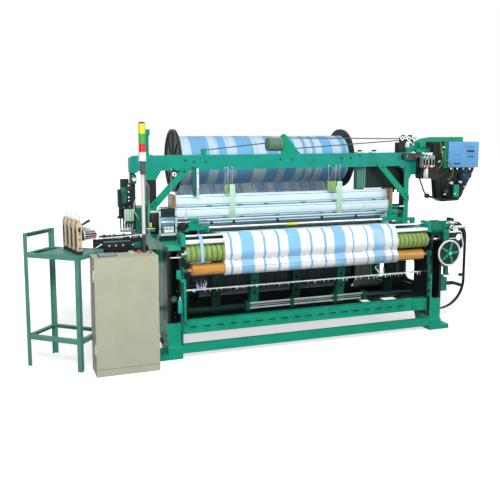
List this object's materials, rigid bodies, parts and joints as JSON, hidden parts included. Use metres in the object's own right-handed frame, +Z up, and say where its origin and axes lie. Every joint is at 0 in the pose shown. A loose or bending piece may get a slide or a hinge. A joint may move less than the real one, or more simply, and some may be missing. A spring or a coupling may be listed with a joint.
{
  "type": "rapier power loom",
  "caption": "Power loom with overhead and lower warp beams, dobby, swinging reed, heald frames, take-up rollers, weft feeders on a stand and a control cabinet.",
  "frame": {"origin": "on the floor, at the centre of the four anchor bolt holes in the feet", "axes": "+X along the loom to the weaver's right, +Y away from the weaver, +Z up"},
  "size_m": [4.468, 1.8538, 1.936],
  "materials": {
    "frame_paint": "satin machine enamel",
    "dark_paint": "satin machine enamel",
    "bright_steel": "ground",
    "upper_yarn": "wound yarn",
    "lower_yarn": "wound yarn",
    "warp_yarn": "stretched yarn",
    "cloth": "striped woven cloth",
    "green_rubber": "ribbed",
    "amber_wood": "varnished",
    "slat_aluminium": "anodised",
    "cast_wheel": "painted",
    "black_cast": "painted",
    "blue_paint": "gloss enamel",
    "grey_plastic": "moulded",
    "green_plastic": "moulded",
    "red_plastic": "moulded",
    "white_plastic": "moulded",
    "cabinet_paint": "textured enamel",
    "signal_plastic": "moulded",
    "stand_paint": "satin enamel",
    "beige_plastic": "moulded"
  },
  "bodies": {
    "frame": {"left_side_frame": "frame_paint", "right_side_frame": "frame_paint", "front_cross_beam": "frame_paint", "tie_bars": "frame_paint", "breast_beam": "bright_steel", "arch_beam": "frame_paint", "arch_posts": "frame_paint", "beam_stands": "frame_paint", "cloth_sheet": "cloth", "warp_sheets": "warp_yarn", "take_up_gearbox": "frame_paint", "temple": "frame_paint", "heald_guides": "amber_wood", "drop_wire_rack": "bright_steel", "rapier_guides": "frame_paint", "covers": "dark_paint", "top_mechanism": "black_cast", "overhead_rigging": "frame_paint", "dobby_arch": "frame_paint", "dobby_case": "dark_paint", "dobby_levers": "bright_steel", "control_box": "blue_paint", "button_station": "grey_plastic", "cabinet_shell": "cabinet_paint", "cabinet_gear": "grey_plastic", "signal_tower": "signal_plastic", "feeder_stand": "stand_paint", "feeder_bodies": "beige_plastic", "weft_selector": "dark_paint", "inner_linkage": "bright_steel", "main_motor": "dark_paint"},
    "handwheel": {"handwheel": "frame_paint"},
    "take_up": {"take_up_roller": "bright_steel", "roller_wrap": "green_rubber"},
    "cloth_arms": {"cloth_arms": "frame_paint"},
    "cloth_roller": {"cloth_roller": "amber_wood", "cloth_roll": "cloth"},
    "upper_beam": {"upper_beam": "dark_paint", "upper_winding": "upper_yarn"},
    "lower_beam": {"lower_beam": "lower_yarn"},
    "back_rest": {"back_rest_roller": "bright_steel"},
    "guide_roller": {"guide_roller": "bright_steel"},
    "sley": {"sley": "frame_paint", "reed": "bright_steel"},
    "heald_1": {"heald_frame_1": "slat_aluminium"},
    "heald_2": {"heald_frame_2": "slat_aluminium"},
    "heald_3": {"heald_frame_3": "slat_aluminium"},
    "heald_4": {"heald_frame_4": "slat_aluminium"},
    "left_rapier": {"left_rapier_wheel": "cast_wheel"},
    "right_rapier": {"right_rapier_wheel": "cast_wheel"},
    "cabinet_door": {"cabinet_door": "cabinet_paint"},
    "start_bar": {"start_bar": "bright_steel"},
    "brake_lever": {"brake_lever": "white_plastic"},
    "stop_knob": {"stop_knob": "red_plastic"},
    "start_button": {"start_button": "green_plastic"},
    "stop_button": {"stop_button": "red_plastic"},
    "flyer_1": {"feeder_flyer_1": "bright_steel"},
    "flyer_2": {"feeder_flyer_2": "bright_steel"},
    "flyer_3": {"feeder_flyer_3": "bright_steel"},
    "flyer_4": {"feeder_flyer_4": "bright_steel"}
  },
  "joints": [
    {"name": "handwheel_turn", "type": "hinge", "parent": "frame", "child": "handwheel", "pos_m": [1.352, -0.8, 0.737], "axis": [0, 1, 0], "continuous": true},
    {"name": "take_up_turn", "type": "hinge", "parent": "frame", "child": "take_up", "pos_m": [0, -0.685, 0.859], "axis": [1, 0, 0], "continuous": true},
    {"name": "cloth_arms_slide", "type": "slide", "parent": "frame", "child": "cloth_arms", "axis": [0, 0, 1], "range_m": [-0.09, 0]},
    {"name": "cloth_roller_turn", "type": "hinge", "parent": "cloth_arms", "child": "cloth_roller", "pos_m": [0, -0.706, 0.728], "axis": [1, 0, 0], "continuous": true},
    {"name": "upper_beam_turn", "type": "hinge", "parent": "frame", "child": "upper_beam", "pos_m": [0, 0.589, 1.574], "axis": [1, 0, 0], "continuous": true},
    {"name": "lower_beam_turn", "type": "hinge", "parent": "frame", "child": "lower_beam", "pos_m": [0, 0.5, 0.43], "axis": [1, 0, 0], "continuous": true},
    {"name": "back_rest_turn", "type": "hinge", "parent": "frame", "child": "back_rest", "pos_m": [0, 0.75, 0.985], "axis": [1, 0, 0], "continuous": true},
    {"name": "guide_roller_turn", "type": "hinge", "parent": "frame", "child": "guide_roller", "pos_m": [0, 0.52, 1.09], "axis": [1, 0, 0], "continuous": true},
    {"name": "sley_swing", "type": "hinge", "parent": "frame", "child": "sley", "pos_m": [0, -0.21, 0.25], "axis": [1, 0, 0], "range_deg": [0, 4.5]},
    {"name": "heald_1_lift", "type": "slide", "parent": "frame", "child": "heald_1", "axis": [0, 0, 1], "range_m": [0, 0.106]},
    {"name": "heald_2_lift", "type": "slide", "parent": "frame", "child": "heald_2", "axis": [0, 0, 1], "range_m": [-0.106, 0]},
    {"name": "heald_3_lift", "type": "slide", "parent": "frame", "child": "heald_3", "axis": [0, 0, 1], "range_m": [0, 0.106]},
    {"name": "heald_4_lift", "type": "slide", "parent": "frame", "child": "heald_4", "axis": [0, 0, 1], "range_m": [-0.106, 0]},
    {"name": "right_rapier_turn", "type": "hinge", "parent": "frame", "child": "right_rapier", "pos_m": [1.7, -0.35, 0.8], "axis": [0, 1, 0], "range_deg": [-300, 0]},
    {"name": "left_rapier_turn", "type": "hinge", "parent": "frame", "child": "left_rapier", "pos_m": [-1.7, -0.35, 0.8], "axis": [0, 1, 0], "range_deg": [0, 300]},
    {"name": "cabinet_door_open", "type": "hinge", "parent": "frame", "child": "cabinet_door", "pos_m": [-1.941, -0.944, 0], "axis": [0, 0, -1], "range_deg": [0, 110]},
    {"name": "start_bar_turn", "type": "hinge", "parent": "frame", "child": "start_bar", "pos_m": [0, -0.65, 0.55], "axis": [1, 0, 0], "range_deg": [-20, 20]},
    {"name": "brake_lever_turn", "type": "hinge", "parent": "frame", "child": "brake_lever", "pos_m": [1.462, -0.67, 0.957], "axis": [0, 1, 0], "range_deg": [-25, 25]},
    {"name": "stop_knob_push", "type": "slide", "parent": "frame", "child": "stop_knob", "axis": [0, 0, -1], "range_m": [0, 0.006], "stiffness_N_per_m": 800},
    {"name": "start_button_push", "type": "slide", "parent": "frame", "child": "start_button", "axis": [0, 1, 0], "range_m": [0, 0.004], "stiffness_N_per_m": 600},
    {"name": "stop_button_push", "type": "slide", "parent": "frame", "child": "stop_button", "axis": [0, 1, 0], "range_m": [0, 0.004], "stiffness_N_per_m": 600},
    {"name": "flyer_1_turn", "type": "hinge", "parent": "frame", "child": "flyer_1", "pos_m": [-2.06665, -0.43796, 1.069], "axis": [0.9803, 0.1977, 0], "continuous": true},
    {"name": "flyer_2_turn", "type": "hinge", "parent": "frame", "child": "flyer_2", "pos_m": [-2.04688, -0.53599, 1.069], "axis": [0.9803, 0.1977, 0], "continuous": true},
    {"name": "flyer_3_turn", "type": "hinge", "parent": "frame", "child": "flyer_3", "pos_m": [-2.02712, -0.63401, 1.069], "axis": [0.9803, 0.1977, 0], "continuous": true},
    {"name": "flyer_4_turn", "type": "hinge", "parent": "frame", "child": "flyer_4", "pos_m": [-2.00735, -0.73204, 1.069], "axis": [0.9803, 0.1977, 0], "continuous": true}
  ],
  "couplings": [
    {"joint": "take_up_turn", "follows": "handwheel_turn", "ratio": 0.05},
    {"joint": "cloth_roller_turn", "follows": "handwheel_turn", "ratio": -0.0567},
    {"joint": "left_rapier_turn", "follows": "right_rapier_turn", "ratio": -1}
  ]
}
